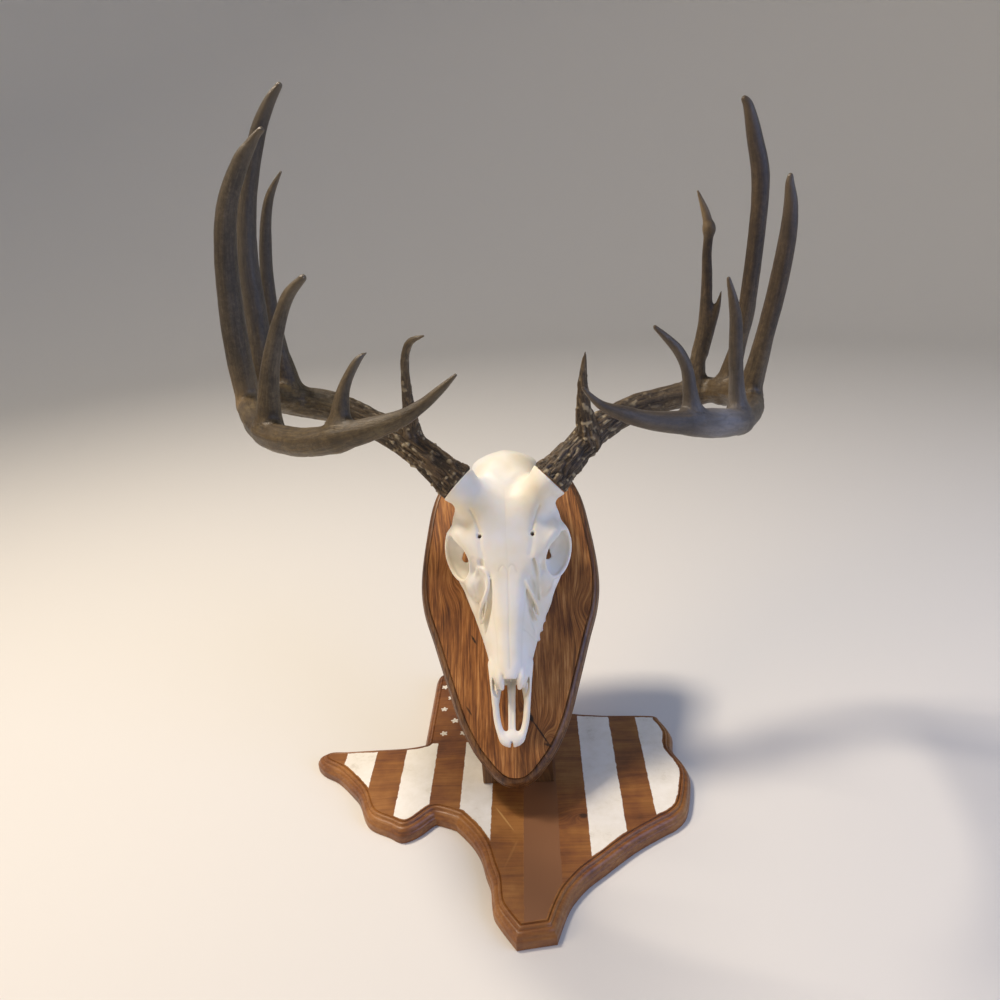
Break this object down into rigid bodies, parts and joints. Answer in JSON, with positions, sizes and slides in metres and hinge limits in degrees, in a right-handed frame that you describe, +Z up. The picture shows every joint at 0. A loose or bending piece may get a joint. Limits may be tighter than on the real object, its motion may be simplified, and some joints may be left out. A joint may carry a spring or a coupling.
{
  "type": "deer skull mount",
  "caption": "White deer skull with branching antlers on a leaning shield plaque, post and Texas-shaped flag board.",
  "frame": {"origin": "on the underside of the base board, straight below the middle of the post", "axes": "+Z up, +X to the viewer's right, the skull's nose points to -Y, towards the viewer"},
  "size_m": [0.4696, 0.3796, 0.6582],
  "materials": {
    "stained_wood": "satin stain with matte white paint",
    "post_wood": "satin stain",
    "plaque_wood": "semi-gloss varnish",
    "bone": "smooth satin",
    "antler": "dull, polished at the tips"
  },
  "bodies": {
    "root": {"base": "stained_wood", "post": "post_wood", "plaque": "plaque_wood", "skull": "bone", "antler_left": "antler", "antler_right": "antler"}
  },
  "joints": []
}
